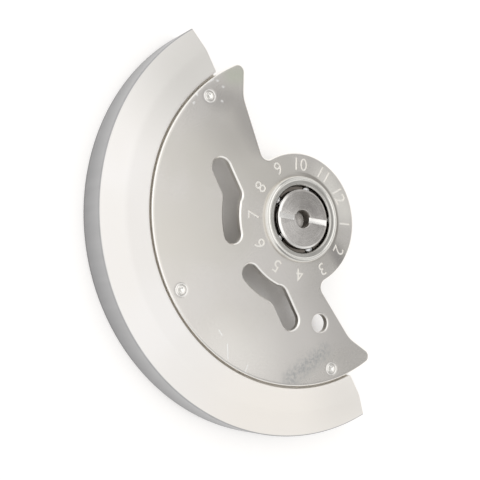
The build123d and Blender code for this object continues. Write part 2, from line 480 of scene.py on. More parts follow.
# %% [markdown]
# The outer race
#
# The outer race is a steel ring with a groove for the balls. Its neck passes through the plate, a flange
# below holds it, and its upper edge is rolled over the plate as a bead. A plain tube with bevelled edges
# can't show that rolled edge, so it is drawn as the lathe cuts it: lip, shallow dish, crest and slope.

# %% Outer race
lip_radius = 2.09 * mm
neck_radius = 2.505 * mm
bead_radius = 2.70 * mm
groove_radius = 2.315 * mm
pinion_bore = 2.625 * mm
flange_radius = race_high.x
flange_bottom = pinion_high.z
race_top = race_high.z
race_bottom = race_low.z
lip_lean, lip_drop = 0.075 * mm, 0.125 * mm
dish_edge, dish_drop = 2.36 * mm, 0.045 * mm
crest_start, crest_end = 2.425 * mm, 2.50 * mm
slope_radius, slope_drop = 2.63 * mm, 0.07 * mm
bead_drop = 0.19 * mm
fine_round, small_round = 0.02 * mm, 0.03 * mm


def race_height(offset):
    """Height of a race cone from the ball centres, at a distance from the ball track."""
    clearance = 0.02 * mm
    return (ball_radius + clearance) * math.sqrt(2) - offset


groove_rise = race_height(groove_radius - track_radius)
lip_rise = race_height(lip_radius - track_radius)
race_section = [
    (lip_radius + lip_lean, race_top - dish_drop, 0.05 * mm),
    (dish_edge, race_top - dish_drop, 0.04 * mm),
    (crest_start, race_top, small_round),
    (crest_end, race_top, 0.06 * mm),
    (slope_radius, race_top - slope_drop, 0.09 * mm),
    (bead_radius, race_top - bead_drop, 0.07 * mm),
    (bead_radius, plate_top, fine_round),
    (neck_radius, plate_top, 0),
    (neck_radius, plate_bottom, 0),
    (flange_radius, plate_bottom, fine_round),
    (flange_radius, flange_bottom, small_round),
    (pinion_bore, flange_bottom, 0),
    (pinion_bore, race_bottom, small_round),
    (lip_radius, race_bottom, small_round),
    (lip_radius, ball_level - lip_rise),
    (groove_radius, ball_level - groove_rise),
    (groove_radius, ball_level + groove_rise),
    (lip_radius, ball_level + lip_rise),
    (lip_radius, race_top - lip_drop),
]
outer_race = skin("outer_race", swept(softened(race_section, fine_round)), around=True)
finished(outer_race, "rotor", "race_steel", race_steel, "bearing_outer_ring")

# %% [markdown]
# The inner race
#
# The inner race is two halves. The core is the slotted disc that the eye sees, with its shank and the
# thread that holds the rotor in the watch. The cone ring is pressed on the shank below it. A thread laid
# on as a loose helix would leave a seam, so it is part of the core's own skin: the shank's points are
# drawn in by a tooth that climbs as it goes round.

# %% Cone ring
core_rim = core_high.x
waist_radius = 1.615 * mm
shank_radius = 1.25 * mm
rim_rise = race_height(track_radius - core_rim)
waist_rise = race_height(track_radius - waist_radius)

cone_section = [
    (shank_radius, ball_level),
    (waist_radius, ball_level),
    (waist_radius, ball_level - waist_rise),
    (core_rim, ball_level - rim_rise),
    (core_rim, cone_bottom, 0.06 * mm),
    (shank_radius, cone_bottom, small_round),
]
cone_ring = skin("cone_ring", swept(softened(cone_section, fine_round)), around=True)
finished(cone_ring, "inner_race", "race_steel", race_steel, "lower_cone_ring")

# %% Core blank and thread
disc_top = core_high.z
disc_chamfer, disc_chamfer_drop = 0.15 * mm, 0.08 * mm
stem_bottom = core_low.z
thread_radius = 1.0 * mm
thread_depth = 0.13 * mm
thread_pitch = 0.25 * mm
thread_rows = 10
thread_width = 1.25
shank_recess = 0.05 * mm
thread_chamfer = 0.15 * mm
tolerance = 0.001 * mm

core_section = [
    (0, disc_top, 0),
    (core_rim - disc_chamfer, disc_top, fine_round),
    (core_rim, disc_top - disc_chamfer_drop, small_round),
    (core_rim, ball_level + rim_rise),
    (waist_radius, ball_level + waist_rise),
    (waist_radius, ball_level),
    (shank_radius, ball_level, 0),
    (shank_radius, shank_recess, small_round),
    (thread_radius, shank_recess, 0),
]
rows = int((shank_recess - stem_bottom - thread_chamfer) / thread_pitch * thread_rows)
thread_end = stem_bottom + thread_chamfer
for row in range(1, rows + 1):
    core_section.append((thread_radius, shank_recess + (thread_end - shank_recess) * row / rows, 0))
core_section.append((thread_radius - thread_chamfer, stem_bottom, fine_round))
core_section.append((0, stem_bottom, 0))
core = skin("core", swept(softened(core_section, fine_round)), around=True)

for vertex in core.data.vertices:
    radius, height = vertex.co.xy.length, vertex.co.z
    if abs(radius - thread_radius) < tolerance and height < shank_recess:
        climb = (height / thread_pitch + math.atan2(vertex.co.y, vertex.co.x) / (2 * math.pi)) % 1
        tooth = 1 - min(abs(2 * climb - 1) * thread_width, 1)
        fade = min(1, (shank_recess - height) / thread_pitch)
        vertex.co.xy *= 1 - (1 - tooth) * fade * thread_depth / thread_radius
print("core blank", len(core.data.polygons), "faces,", rows / thread_rows, "turns")

# %% [markdown]
# The slot and the hole in the core
#
# A round cutter milled the screwdriver slot, so its floor is slightly hollow and catches light at one
# end. The hole was drilled and its edge broken. A swept section can't hold a straight slot, so both are
# cut with Boolean modifiers from shapes a little larger than the cut, and a Bevel modifier then breaks
# the new edges.

# %% Slot and hole
slot_width = 0.36 * mm
slot_depth = 0.20 * mm
slot_angle = math.radians(56)
slot_steps = 24
cutter_radius = 10 * mm
hole_radius = 0.55 * mm
hole_depth = 0.75 * mm
hole_chamfer = 0.05 * mm
hole_steps = 77
clear = 0.3 * mm
edge_break = 0.012 * mm

slot_loops = []
for step in range(slot_steps + 1):
    along = (2 * step / slot_steps - 1) * (core_rim + clear)
    floor_up = disc_top - slot_depth + along * along / (2 * cutter_radius)
    corners = [(-slot_width / 2, floor_up), (slot_width / 2, floor_up),
               (slot_width / 2, disc_top + clear), (-slot_width / 2, disc_top + clear)]
    slot_loops.append([
        (along * math.cos(slot_angle) - aside * math.sin(slot_angle),
         along * math.sin(slot_angle) + aside * math.cos(slot_angle), up) for aside, up in corners])
hole_section = [
    (0, disc_top + clear),
    (hole_radius + hole_chamfer + clear, disc_top + clear),
    (hole_radius, disc_top - hole_chamfer),
    (hole_radius, disc_top - hole_depth),
    (0, disc_top - hole_depth),
]
slot_cutter = skin("slot_cutter", slot_loops, capped=True)
hole_cutter = skin("hole_cutter", swept(softened(hole_section, 0), hole_steps), around=True)
for cutter in (slot_cutter, hole_cutter):
    cut = core.modifiers.new(cutter.name, "BOOLEAN")
    cut.operation = "DIFFERENCE"
    cut.solver = "EXACT"
    cut.object = cutter
plain(core)
for cutter in (slot_cutter, hole_cutter):
    bpy.data.objects.remove(cutter)
bevel = core.modifiers.new("broken edges", "BEVEL")
bevel.width = edge_break
bevel.segments = 2
bevel.limit_method = "ANGLE"
bevel.angle_limit = math.radians(50)
print("core cut", len(core.data.polygons), "faces")

# %% [markdown]
# The core's steel
#
# The disc's face was turned with a coarser tool. Its brightness goes round in fans, as on any faced disc,
# and this sheen is painted into the colour. The milled floor has a painted highlight and the drilled wall
# painted shade. An anisotropic shader would make the fans from the lamp alone, but few other programs
# show it, so they are drawn as waves of the angle.

# %% Core finish
sheen_angle = math.radians(81)
fan_angle = math.radians(129)
highlight_colour = (0.97, 0.95, 0.92)


def core_metal():
    """Turned steel with a painted highlight on the slot and the edge, painted shade on the drilled wall and
    a painted sheen that goes round.
    """
    finish = Finish("core_steel")
    point, x, y, z = finish.place()
    radius = (x * x + y * y).maths("SQRT")
    angle = y.maths("ARCTAN2", x)
    rings = finish.noise(finish.join(radius * 9.0, angle * 0.4, z * 9.0), 1.0, 3.0, 0.6)
    grain = finish.noise(point, 16.0, 3.0, 0.7)
    blotches = finish.noise(point, 2.6, 3.0, 0.6)
    # Painted sheen: brightness that goes round the disc in fans, drawn as waves of the angle.
    sheen = (angle + sheen_angle).maths("COSINE") * 0.5 + 0.5
    sheen_fans = (angle * 2.0 - fan_angle).maths("COSINE") * 0.5 + 0.5
    grain_and_sheen = rings * 0.16 + grain * 0.20 + blotches * 0.24 + sheen * 0.28 + sheen_fans * 0.14

    # Painted highlight on the disc's chamfer, where the painted sheen is bright.
    edge = finish.beyond(radius, core_rim, -0.15, -0.11) * finish.ease(sheen, 0.45, 0.75)
    edge = edge * finish.beyond(z, disc_top, -0.09, -0.07)
    # Painted highlight on the milled slot's floor.
    across = (x * math.sin(slot_angle) - y * math.cos(slot_angle)).maths("ABSOLUTE")
    slot_highlight = finish.beyond(across, slot_width / 2, 0.01, -0.01) * finish.beyond(z, disc_top, -0.02, -0.04)
    slot_highlight = slot_highlight * finish.beyond(radius, hole_radius, -0.01, 0.02)
    slot_highlight = slot_highlight * finish.beyond(z, ball_level, 0.0, 0.1)
    # Painted shade on the drilled hole's wall.
    hole_wall_shade = finish.beyond(radius, hole_radius, 0.02, -0.01)
    hole_wall_shade = hole_wall_shade * finish.beyond(radius, hole_radius, -0.03, -0.01)
    hole_wall_shade = hole_wall_shade * finish.beyond(z, disc_top, -0.10, -0.20)
    steel = finish.coated(
        (0.40, 0.38, 0.36),
        (finish.ease(grain_and_sheen, 0.22, 0.78), (0.76, 0.73, 0.70)),
        (edge, highlight_colour),
        (slot_highlight, highlight_colour),
        (hole_wall_shade, (0.16, 0.145, 0.13)),
    )
    return finish.surface(
        Metallic=1.0,
        Base_Color=steel,
        Roughness=0.26 + (rings - 0.5) * 0.12 + (grain - 0.5) * 0.12,
        Normal=finish.relief(rings * 0.4 + grain * 0.4, turning_depth),
    )


finished(core, "inner_race", "core_steel", core_metal(), "bearing_core")

# %% [markdown]
# Copies round the axis
#
# Teeth, rivets and balls repeat round the spin axis. Copying them in a Python loop would do, but one
# Geometry Nodes tree shows the rule and makes them all: it turns a piece's own mesh to each place, makes
# the copies real and welds the seams. Its named inputs serve a ring of teeth that touch as well as three
# rivets that stand apart.

# %% Copies tree
def copies_tree():
    """Geometry Nodes that repeat a piece round the spin axis."""
    group = bpy.data.node_groups.new("copies round the axis", "GeometryNodeTree")
    kinds = {"Geometry": "Geometry", "Count": "Int", "First Angle": "Float", "Step Angle": "Float",
             "Material": "Material"}
    for name, kind in kinds.items():
        group.interface.new_socket(name, in_out="INPUT", socket_type="NodeSocket" + kind)
    group.interface.new_socket("Geometry", in_out="OUTPUT", socket_type="NodeSocketGeometry")
    tree = Nodes(group)
    given = {name: tree.node("NodeGroupInput", output=name) for name in kinds}
    places = tree.node("GeometryNodeMeshLine", inputs={"Count": given["Count"], "Offset": (0, 0, 0)})
    index = tree.node("GeometryNodeInputIndex")
    turn = tree.join(0.0, 0.0, index.maths("MULTIPLY_ADD", given["Step Angle"], given["First Angle"]))
    copies = tree.node("GeometryNodeInstanceOnPoints", inputs={
        "Points": places, "Instance": given["Geometry"], "Rotation": turn})
    real = tree.node("GeometryNodeRealizeInstances", inputs={0: copies})
    welded = tree.node("GeometryNodeMergeByDistance", inputs={"Geometry": real, "Distance": weld_distance})
    metal = tree.node("GeometryNodeSetMaterial", inputs={"Geometry": welded, "Material": given["Material"]})
    tree.node("NodeGroupOutput", inputs={0: metal})
    return group


def repeated(piece, material, count, first_angle, step_angle):
    """The piece copied round the axis by the tree, as one plain mesh."""
    modifier = piece.modifiers.new("copies", "NODES")
    modifier.node_group = round_the_axis
    values = {"Count": count, "First Angle": first_angle, "Step Angle": step_angle, "Material": material}
    for item in round_the_axis.interface.items_tree:
        if item.name in values:
            modifier[item.identifier] = values[item.name]
    return plain(piece)


def turned_aside(name, section, steps, distance):
    """A section turned round an axis of its own, at a distance from the spin axis."""
    loops = [[(distance + x, y, z) for x, y, z in loop] for loop in swept(section, steps)]
    return skin(name, loops, around=True)


round_the_axis = copies_tree()
print("tree", round_the_axis.name, len(round_the_axis.nodes), "nodes")

# %% [markdown]
# The pinion
#
# The toothed ring under the bearing passes the rotor's swing to the winding train. Its teeth have
# involute flanks, the curve that a taut thread draws as it leaves a cylinder. Straight flanks would look
# like a saw's, so one sector, from the middle of a gap to the middle of the next, is drawn from that
# formula, and the tree repeats it.

# %% Tooth sizes
tooth_count = 36
pressure_angle = math.radians(20)
tooth_share = 0.47
root_share = 1.25
tooth_wall = 0.19 * mm
tooth_break = 0.015 * mm
flank_steps = 6

root_radius = pinion_bore + tooth_wall
tooth_module = root_radius / (tooth_count / 2 - root_share)
pitch_radius = tooth_module * tooth_count / 2
tip_radius = pitch_radius + tooth_module
base_radius = pitch_radius * math.cos(pressure_angle)
pitch_turn = 2 * math.pi / tooth_count
print("module", in_mm(tooth_module), "mm, tip radius", in_mm(tip_radius), "mm")


# %% Pinion
def involute_angle(radius):
    """Polar angle that the involute has gained at a radius."""
    roll = math.sqrt(max(0.0, (radius / base_radius) ** 2 - 1))
    return roll - math.atan(roll)


def edge_steps(top, bottom, upper, lower, steps=4):
    """(step back, height) pairs down an upright edge with rounded top and bottom corners."""
    leans = [math.pi / 2 * step / steps for step in range(steps + 1)]
    down = [(upper * (1 + hold), top)]
    down += [(upper * (1 - math.sin(lean)), top - upper * (1 - math.cos(lean))) for lean in leans]
    down += [(0, top - upper * (1 + hold)), (0, bottom + lower * (1 + hold))]
    down += [(lower * (1 - math.cos(lean)), bottom + lower * (1 - math.sin(lean))) for lean in leans]
    down.append((lower * (1 + hold), bottom))
    return down


flank = []
for step in range(flank_steps + 1):
    radius = root_radius + (tip_radius - root_radius) * step / flank_steps
    lean = involute_angle(pitch_radius) - involute_angle(radius)
    flank.append((radius, tooth_share * pitch_turn / 2 + lean))
path = [(root_radius, -pitch_turn / 2)]
path += [(radius, -half_angle) for radius, half_angle in flank]
path += [(radius, half_angle) for radius, half_angle in reversed(flank)]
path.append((root_radius, pitch_turn / 2))

tooth_edge = edge_steps(pinion_high.z, pinion_low.z, 0.0, tooth_break, 2)
sector = []
for radius, angle in path:
    outside = [at_angle(radius - back, angle, up) for back, up in tooth_edge]
    inside = [at_angle(pinion_bore, angle, up) for up in (pinion_low.z, pinion_high.z)]
    sector.append(outside + inside)
pinion = repeated(skin("pinion", sector), pinion_steel, tooth_count, 0.0, pitch_turn)
finished(pinion, "rotor", "pinion_steel", pinion_steel, "drive_pinion")

# %% [markdown]
# The balls and the cage
#
# Five balls run between the races. Copies in one mesh couldn't roll by themselves, and each ball is a
# body of its own in the frame, so it is its own piece: a half circle turned on the track at angle zero,
# which the tree turns to its place. The cage keeps the balls apart. Only its dark upper edge shows in
# the gap, so the CAD shape stays and gets a dark finish.

# %% Balls and cage
ball_rows, ball_columns = 24, 48

ball_section = []
for row in range(ball_rows + 1):
    tilt = math.pi * row / ball_rows
    ball_section.append((ball_radius * math.sin(tilt), ball_level + ball_radius * math.cos(tilt)))
for number, centre in enumerate(ball_centres, start=1):
    ball = turned_aside(f"ball_{number}_sphere", ball_section, ball_columns, track_radius)
    ball = repeated(ball, ball_steel, 1, math.atan2(centre.y, centre.x), 0.0)
    finished(ball, f"ball_{number}", "ball_steel", ball_steel, f"bearing_ball_{number}")
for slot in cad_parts["ball_cage"].material_slots:
    slot.material = cage_dark
print("cage finish", cage_dark.name)

# %% [markdown]
# The plate's outline
#
# The plate is pressed from thin nickel-plated brass. Its outline is arcs and straight runs that meet
# smoothly: a half disc, raised ears, shallow upper edges and a round hub. A free curve through a few
# points would wobble, so each centre is found the way a draughtsman finds it, at equal distance from the
# two lines that an arc joins. Only the right side is drawn, and a mirror gives the left.

# %% Outline helpers
arc_angle = math.radians(5)
arc_run = 0.35 * mm
quarter = math.pi / 2


def on_circle(centre, radius, angles):
    """The points of a circle at some angles."""
    x, y = centre
    return [Vector((x + radius * math.cos(angle), y + radius * math.sin(angle))) for angle in angles]


def arc(centre, radius, start, end):
    """Points on an arc between two angles in radians, clockwise if the end is less."""
    sweep = abs(end - start)
    steps = max(3, math.ceil(sweep / arc_angle), math.ceil(sweep * radius / arc_run))
    return on_circle(centre, radius, [start + (end - start) * step / steps for step in range(steps + 1)])


def hole_outline(centre, radius, steps):
    """A round hole, walked clockwise."""
    return on_circle(centre, radius, [-2 * math.pi * step / steps for step in range(steps)])


def bearing_to(point, centre=(0, 0)):
    """Angle of a point seen from a centre."""
    return math.atan2(point[1] - centre[1], point[0] - centre[0])


def centre_by(start, slope, shift, reach):
    """The point on the right at one distance from the axis and another to the left of a line."""
    along = Vector((math.cos(slope), math.sin(slope)))
    across = Vector((-along.y, along.x))
    rise = Vector(start).dot(across) + shift
    return along * math.sqrt(reach ** 2 - rise ** 2) + across * rise


def mirrored(points):
    """The same points on the other side of the middle line, in the other order."""
    return [Vector((-point.x, point.y)) for point in reversed(points)]


def without_doubles(points):
    """A closed outline with no point twice in a row."""
    kept = []
    for point in points:
        if not kept or (point - kept[-1]).length > weld_distance:
            kept.append(point)
    if (kept[0] - kept[-1]).length < weld_distance:
        kept.pop()
    return kept


# %% Plate outline
arm_level = -1.29 * mm
arm_slope = math.radians(7.9)
ear_slope = math.radians(30)
knee_reach = plate_radius - 2.0 * mm
knee_round = 2.0 * mm
ear_round = 0.45 * mm
root_round = 0.50 * mm

knee = Vector((knee_reach, arm_level + math.tan(arm_slope) * knee_reach))
arm_up = Vector((-math.sin(arm_slope), math.cos(arm_slope)))
ear_up = Vector((-math.sin(ear_slope), math.cos(ear_slope)))
ear_centre = centre_by(knee, ear_slope, -ear_round, plate_radius - ear_round)
root_centre = centre_by((0, arm_level), arm_slope, root_round, hub_radius + root_round)
knee_bend = (ear_slope - arm_slope) / 2
knee_centre = knee + (arm_up + ear_up).normalized() * knee_round / math.cos(knee_bend)

right_side = arc((0, 0), plate_radius, -quarter, bearing_to(ear_centre))
right_side += arc(ear_centre, ear_round, bearing_to(ear_centre), quarter + ear_slope)
right_side += arc(knee_centre, knee_round, ear_slope - quarter, arm_slope - quarter)
hub_side = bearing_to((0, 0), root_centre) % (2 * math.pi) - 2 * math.pi
right_side += arc(root_centre, root_round, arm_slope - quarter, hub_side)
right_side += arc((0, 0), hub_radius, bearing_to(root_centre), quarter)
plate_outline = without_doubles(right_side + mirrored(right_side))
print("plate outline", len(plate_outline), "points")

# %% [markdown]
# The slots and the holes
#
# Two mirrored slots lighten the plate. Each is a straight leg that runs into an arc about the spin axis,
# with a generous corner where they meet. Cutting them with Booleans would leave ragged faces round each
# edge, so they are outlines too. An outline goes round a slot clockwise, so that the metal stays on the
# left of the walk, as on the outer edge.

# %% Slot and hole outlines
leg_level = -3.66 * mm
leg_half = 0.63 * mm
leg_length = 1.68 * mm
bend_half = 0.575 * mm
bend_radius = hub_radius + 0.235 * mm + bend_half
bend_end = math.radians(-90 - 15.2)
corner_round = 0.80 * mm
sight_centre = (6.27 * mm, -1.80 * mm)
sight_radius = 0.57 * mm
sight_steps = 64

junction = Vector((-math.sqrt(bend_radius ** 2 - leg_level ** 2), leg_level))
leg_end = junction - Vector((leg_length, 0))
tail = Vector((math.cos(bend_end), math.sin(bend_end))) * bend_radius
inner_edge, outer_edge = bend_radius - bend_half, bend_radius + bend_half
corner_y = leg_level - leg_half - corner_round
corner_centre = Vector((-math.sqrt((outer_edge + corner_round) ** 2 - corner_y ** 2), corner_y))
reach = (inner_edge ** 2 - leg_half ** 2 + bend_radius ** 2) / (2 * bend_radius)
towards = junction.normalized()
meeting = towards * reach + Vector((-towards.y, towards.x)) * math.sqrt(inner_edge ** 2 - reach ** 2)

left_slot = arc(leg_end, leg_half, -quarter, -3 * quarter)
left_slot += arc(junction, leg_half, quarter, bearing_to(meeting, junction))
left_slot += arc((0, 0), inner_edge, bearing_to(meeting), bend_end)
left_slot += arc(tail, bend_half, bend_end + math.pi, bend_end)
left_slot += arc((0, 0), outer_edge, bend_end, bearing_to(corner_centre))
left_slot += arc(corner_centre, corner_round, bearing_to(corner_centre) + math.pi, quarter)
left_slot = without_doubles(left_slot)
right_slot = mirrored(left_slot)
sight_hole = hole_outline(sight_centre, sight_radius, sight_steps)
neck_hole = hole_outline((0, 0), neck_radius, ring_steps)
print("slot outline", len(left_slot), "points")

# %% [markdown]
# The numbers round the hub
#
# Plain numbers from 1 to 12 are engraved round the hub, as on a dial. A bump would vanish at the edge of
# a view, so they are cut into the plate's own mesh. A Text object gives each number's outlines without a
# fill, and a walk along its edges puts the points in order.

# %% Numbers
cap_share = 0.69
stroke_swell = 0.020 * mm
number_height = 0.78 * mm
number_reach = 3.44 * mm


def numeral_outlines(number, angle):
    """The closed outlines of a number that stands on a circle about the spin axis."""
    words = bpy.data.curves.new("number", "FONT")
    words.body = str(number)
    words.size = number_height / cap_share
    words.fill_mode = "NONE"
    words.resolution_u = 4
    words.offset = stroke_swell
    piece = placed("number", words)
    mesh = plain_mesh(piece)
    bpy.data.objects.remove(piece)
    links = {}
    for edge in mesh.edges:
        first, second = edge.vertices
        links.setdefault(first, []).append(second)
        links.setdefault(second, []).append(first)
    xs = [vertex.co.x for vertex in mesh.vertices]
    ys = [vertex.co.y for vertex in mesh.vertices]
    middle = Vector((min(xs) + max(xs), min(ys) + max(ys))) / 2
    upright = Matrix.Rotation(angle - quarter, 2)
    centre = Vector((math.cos(angle), math.sin(angle))) * number_reach
    outlines = []
    while links:
        start = here = next(iter(links))
        outline = []
        while here in links:
            outline.append(centre + upright @ (mesh.vertices[here].co.xy - middle))
            onward = [index for index in links.pop(here) if index in links]
            here = onward[0] if onward else start
        outlines.append(without_doubles(outline))
    return outlines


numbers = []
for hour in range(1, 13):
    numbers += numeral_outlines(hour, quarter - math.radians(30 * hour))
print("numbers", len(numbers), "outlines")

# %% [markdown]
# The plate's body
#
# The press leaves a rounded upper edge and a smaller one below, the slots have a bright chamfer, and
# each rivet's punch leaves a shallow ring in the plate round the rivet's end. One bevel can't give all
# of these, so every outline is walked with its own list of steps back from the edge and down. The faces
# between the outlines are then filled with triangles.

# %% Wall sizes and helpers
outer_round = 0.14 * mm
upper_round = 0.09 * mm
lower_round = 0.03 * mm
slot_chamfer = 0.09 * mm
stamp_radius = 0.44 * mm
stamp_depth = 0.022 * mm
stamp_lip = 0.02 * mm
stamp_end = 0.86
stamp_steps = 48
engraving_depth = 0.035 * mm
rivet_radius = 0.26 * mm
rivet_boxes = [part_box(f"weight_rivet_{number}") for number in (1, 2, 3)]
rivet_centres = [(low + high) / 2 for low, high in rivet_boxes]


def away_from_metal(outline):
    """Unit directions to the right of the walk round a closed outline."""
    directions = []
    for index, here in enumerate(outline):
        arriving = (here - outline[index - 1]).normalized()
        leaving = (outline[(index + 1) % len(outline)] - here).normalized()
        along = (arriving + leaving).normalized()
        directions.append(Vector((along.y, -along.x)))
    return directions


def walled(shape, outline, steps):
    """Adds a wall down an outline and returns its top and bottom edges."""
    directions = away_from_metal(outline)
    rings = []
    for back, up in steps:
        points = [point - direction * back for point, direction in zip(outline, directions)]
        rings.append([shape.verts.new((point.x, point.y, up)) for point in points])
    count = len(outline)
    for upper, lower in zip(rings, rings[1:]):
        for index in range(count):
            after = (index + 1) % count
            shape.faces.new((upper[index], lower[index], lower[after], upper[after]))
    return [[shape.edges.get((ring[index], ring[(index + 1) % count])) for index in range(count)]
            for ring in (rings[0], rings[-1])]


# %% Walls
hole_wall = edge_steps(plate_top, plate_bottom, upper_round, lower_round)
outer_wall = edge_steps(plate_top, plate_bottom, outer_round, lower_round)
neck_wall = [(0, plate_top), (0, plate_bottom)]
number_wall = [(0, plate_top), (0, plate_top - engraving_depth)]
slot_wall = softened([
    (slot_chamfer * (1 + hold), plate_top, 0),
    (slot_chamfer, plate_top),
    (0, plate_top - slot_chamfer),
    (0, plate_bottom, lower_round),
    (lower_round * 2, plate_bottom, 0),
], 0.03 * mm)
stamp_width = stamp_radius - rivet_radius
stamp_wall = [(stamp_width * hold, plate_top)]
for share in (0, 0.07, 0.19, 0.33, 0.52, 0.71, stamp_end, 0.93):
    dip = math.sin(math.pi * min(share / stamp_end, 1)) ** 2
    stamp_wall.append((-stamp_width * share, plate_top - stamp_depth * dip))
stamp_wall += [(-stamp_width, plate_top - stamp_lip), (-stamp_width, plate_bottom)]
walls = [(plate_outline, outer_wall), (left_slot, slot_wall), (right_slot, slot_wall),
         (sight_hole, hole_wall), (neck_hole, neck_wall)]
walls += [(hole_outline(centre.xy, stamp_radius, stamp_steps), stamp_wall) for centre in rivet_centres]
print("walls", len(walls), "outlines")

# %% Plate body
shape = bmesh.new()
tops, bottoms, sunk_floors = [], [], []
for outline, steps in walls:
    top, bottom = walled(shape, outline, steps)
    tops += top
    bottoms += bottom
for outline in numbers:
    top, bottom = walled(shape, outline, number_wall)
    tops += top
    sunk_floors += bottom
for edges in (tops, bottoms, sunk_floors):
    bmesh.ops.triangle_fill(shape, use_beauty=True, use_dissolve=False, edges=edges, normal=(0, 0, 1))
bmesh.ops.recalc_face_normals(shape, faces=shape.faces)
plate_mesh = bpy.data.meshes.new("plate")
shape.to_mesh(plate_mesh)
shape.free()
plate = placed("plate", plate_mesh)
print("plate body", len(plate_mesh.polygons), "faces")

# %% [markdown]
# The plate's nickel
#
# Lapping leaves almost nothing on the plate: soft clouds and hairlines. The years have added more, as
# on any used part. There are scratches, a scuffed patch by one ear, specks and a touch of tarnish by the
# other. The duller and brighter areas are painted shade and painted light. Painting them on would need an
# image, so each one is a stroke between two points of the plate, in millimetres, and a mask fades out from
# it. Painted shade also darkens the bead's foot and the walls, and the rubbed top edges are lightened as a
# painted highlight.

# %% Marks on the plate
scratches = [((4.15, -8.24), (4.92, -8.62)), ((3.16, -8.36), (3.51, -8.32)), ((5.9, -7.6), (6.2, -8.0))]
specks = [((-9.31, -1.29), (-9.27, -1.25)), ((-8.58, -1.77), (-8.54, -1.73)),
          ((-9.16, -3.62), (-9.18, -3.56)), ((-9.57, -3.14), (-9.50, -3.16)),
          ((-9.93, -2.04), (-9.95, -1.72)), ((-9.77, -1.48), (-9.75, -1.42))]
scuffs = [((8.10, -5.40), (7.98, -2.40))]
# Painted light and shade: darker and brighter patches where the plate mirrors its room.
arm_shade = [((-8.9, -1.9), (-8.4, -1.0)), ((-8.2, -0.7), (-5.4, -0.5))]
hub_reflection_shade = [((2.9, 1.5), (4.0, 1.6))]
shaded = [((3.0, 0.5), (4.4, -0.9)), ((4.4, -0.9), (8.9, -0.6)), ((-9.0, -3.0), (-6.5, -2.0))]
hub_highlight = [((0.96, 3.46), (-1.37, 2.94))]
lit = [((4.9, -8.4), (5.9, -7.5))]
tarnish = [((-9.7, -0.35), (-9.5, 0.2))]
print("marks:", len(scratches), "scratches,", len(specks), "specks")


# %% Plate nickel
def satin_nickel():
    """Lapped nickel plate: soft clouds, hairlines, a scuff or two, a touch of tarnish on one ear, and
    painted light and shade.
    """
    finish = Finish("plate_nickel")
    point, x, y, z = finish.place()
    radius = (x * x + y * y).maths("SQRT")
    clouds = finish.noise(point, 0.22, 2.0)
    grain = finish.noise(point, 34.0, 2.0)
    flecks = finish.noise(point, 4.5, 4.0, 0.8)
    hairs = finish.noise(finish.join(x * 22.0 + y * 6.0, y * 0.9 - x * 0.3, z), 1.0, 4.0, 0.7)
    hairline = finish.ease(hairs, 0.70, 0.76)
    scratch = finish.near(x, y, scratches, 0.06).maths("MAXIMUM", finish.near(x, y, specks, 0.12))
    scuff = finish.near(x, y, scuffs, 0.95) * finish.ease(flecks, 0.34, 0.64)
    # Painted shade: duller patches where the plate mirrors a darker part of its room.
    patch_shade = finish.near(x, y, arm_shade, 1.3) * 0.5 + finish.near(x, y, hub_reflection_shade, 0.90) * 0.85
    patch_shade = patch_shade + finish.near(x, y, shaded, 2.6) * 0.28

    off_the_bead = finish.beyond(radius, bead_radius, 0.2, 0.3)
    # Rubbed top edges, lightened both as wear and as a painted highlight.
    edge_wear_and_highlight = finish.beyond(z, plate_top, -0.003, -0.02) * off_the_bead
    frosted = edge_wear_and_highlight * finish.beyond(radius, hub_radius, -0.12, -0.18)
    # Painted shade round the bead's foot, down the outer wall and down the slot walls.
    bead_shade = finish.beyond(radius, bead_radius, 0.24, 0.02) * finish.ease(y, -1.5, 1.0) * 0.3
    far_bead_shade = finish.beyond(radius, bead_radius, 0.32, 0.20) * finish.ease(y, 0.5, 2.5) * 0.75
    wall = finish.beyond(z, plate_top, -0.07, -0.12)
    outer = finish.beyond(radius, plate_radius, -0.08, -0.03) * 0.2
    inner = finish.beyond(radius, plate_radius, -0.20, -0.50) * off_the_bead
    inner = inner * (finish.ease(x, 2.5, 4.5) * 0.55 + 0.15)
    painted_shade = bead_shade.maths("MAXIMUM", far_bead_shade) + wall * outer + wall * inner
    # Painted light brightens the hub and the lower plate; painted shade darkens patches, the bead's foot and
    # the walls.
    nickel = finish.coated(
        (0.72, 0.69, 0.64),
        (finish.ease(clouds, 0.3, 0.7), (0.765, 0.735, 0.70)),
        (finish.near(x, y, hub_highlight, 1.6), (0.99, 0.96, 0.90)),
        (finish.near(x, y, lit, 3.6), (0.86, 0.83, 0.785)),
        (finish.near(x, y, tarnish, 0.95), (0.70, 0.71, 0.62)),
        (patch_shade, (0.46, 0.44, 0.42)),
        (scuff * 0.8, (0.42, 0.43, 0.43)),
        (scratch, (0.98, 0.97, 0.95)),
        (edge_wear_and_highlight, (0.98, 0.96, 0.92)),
        (painted_shade, (0.30, 0.28, 0.25)),
    )
    return finish.surface(
        Metallic=1.0,
        Base_Color=nickel,
        Roughness=(0.27 + (clouds - 0.5) * 0.08 + (grain - 0.5) * 0.05 + hairline * 0.12
                   + scuff * 0.15 + frosted * 0.35),
        Normal=finish.relief(grain * 0.3 + hairline * 0.5 + scratch * 2.0, 0.0004 * mm),
    )


finished(plate, "rotor", "plate_nickel", satin_nickel(), "rotor_plate")

# %% [markdown]
# The rivets
#
# Three rivets hold the plate on the rim's ledge. A punch has dimpled each end, and the dimple shows as a
# bright point. A ready-made cylinder has no dimple, so one rivet is turned from its section at the
# middle place, and the tree copies it to all three.

